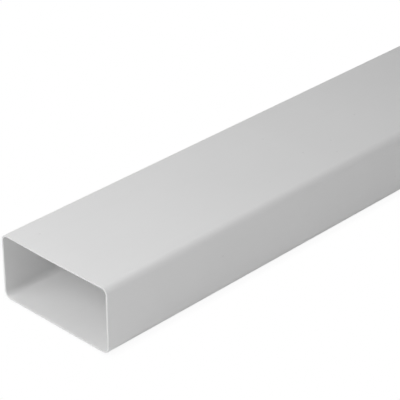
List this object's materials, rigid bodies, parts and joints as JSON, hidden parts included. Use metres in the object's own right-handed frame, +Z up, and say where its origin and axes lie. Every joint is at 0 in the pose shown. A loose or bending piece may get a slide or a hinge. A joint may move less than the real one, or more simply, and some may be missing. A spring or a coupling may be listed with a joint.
{
  "type": "flat channel duct",
  "caption": "Straight length of flat rectangular ventilation duct: a thin-walled white PVC tube with rounded corners, open at both ends, that pushes into duct fittings.",
  "frame": {"origin": "on the floor under the middle of the duct, which lies on its flat broad wall", "axes": "+X along the duct, Y across its width, +Z up through its height"},
  "size_m": [1, 0.11, 0.054],
  "materials": {
    "white_pvc": "satin"
  },
  "bodies": {
    "root": {"flat_channel_duct": "white_pvc"}
  },
  "joints": []
}
